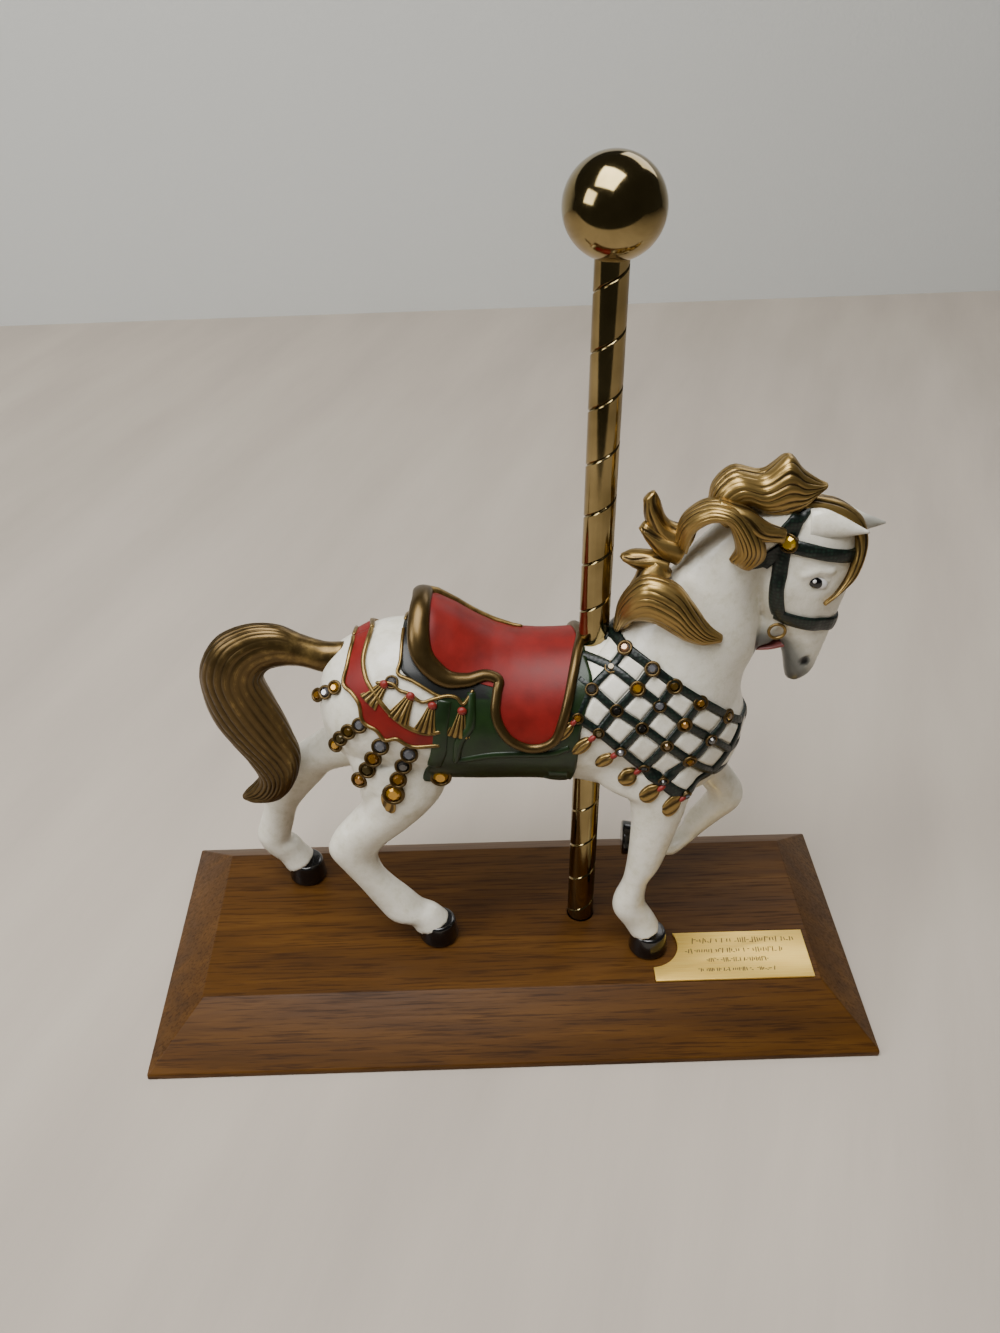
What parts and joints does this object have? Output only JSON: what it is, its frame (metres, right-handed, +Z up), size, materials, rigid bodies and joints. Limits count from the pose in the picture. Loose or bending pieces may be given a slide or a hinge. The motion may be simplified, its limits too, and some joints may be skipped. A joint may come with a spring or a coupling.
{
  "type": "carousel horse figurine",
  "caption": "Jewelled carousel horse figurine standing at a brass pole with a ball finial, on a bevelled wooden board with a small engraved plate.",
  "frame": {"origin": "centre of the board's underside", "axes": "+X along the board towards the horse's head, +Y to the horse's left (far) side, +Z up the pole"},
  "size_m": [0.254, 0.11, 0.2863],
  "materials": {
    "walnut": "satin lacquered dark walnut",
    "brass": "polished",
    "plate_brass": "pale satin, engraved",
    "painted_resin": "hand-painted cast resin: glossy white body, antique gold hair, red, green and black tack",
    "amber_glass": "faceted, foil backed",
    "clear_glass": "faceted, foil backed",
    "gold_glass": "faceted, foil backed"
  },
  "bodies": {
    "root": {"base_board": "walnut", "pole": "brass", "ball_finial": "brass", "name_plate": "plate_brass", "horse": "painted_resin", "lattice_jewel_a_1": "amber_glass", "lattice_jewel_a_2": "amber_glass", "lattice_jewel_a_3": "amber_glass", "lattice_jewel_a_4": "amber_glass", "lattice_jewel_a_5": "amber_glass", "lattice_jewel_a_6": "amber_glass", "lattice_jewel_a_7": "amber_glass", "lattice_jewel_a_8": "amber_glass", "lattice_jewel_b_1": "clear_glass", "lattice_jewel_b_2": "clear_glass", "lattice_jewel_b_3": "clear_glass", "lattice_jewel_b_4": "clear_glass", "lattice_jewel_b_5": "clear_glass", "lattice_jewel_b_6": "clear_glass", "lattice_jewel_b_7": "clear_glass", "lattice_jewel_c_1": "amber_glass", "lattice_jewel_c_2": "amber_glass", "lattice_jewel_c_3": "amber_glass", "lattice_jewel_c_4": "amber_glass", "lattice_jewel_c_5": "amber_glass", "lattice_jewel_c_6": "amber_glass", "string_jewel_a_1": "amber_glass", "string_jewel_a_2": "amber_glass", "string_jewel_a_3": "amber_glass", "string_jewel_b_1": "amber_glass", "string_jewel_b_2": "amber_glass", "string_jewel_b_3": "amber_glass", "string_jewel_b_4": "amber_glass", "string_jewel_c_1": "amber_glass", "string_jewel_c_2": "amber_glass", "string_jewel_c_3": "amber_glass", "string_jewel_c_4": "amber_glass", "string_jewel_d_1": "amber_glass", "string_jewel_d_2": "amber_glass", "string_jewel_d_3": "amber_glass", "haunch_jewel_1": "amber_glass", "blanket_jewel_1": "amber_glass", "garland_jewel_1": "clear_glass", "cheek_jewel_1": "gold_glass"}
  },
  "joints": []
}
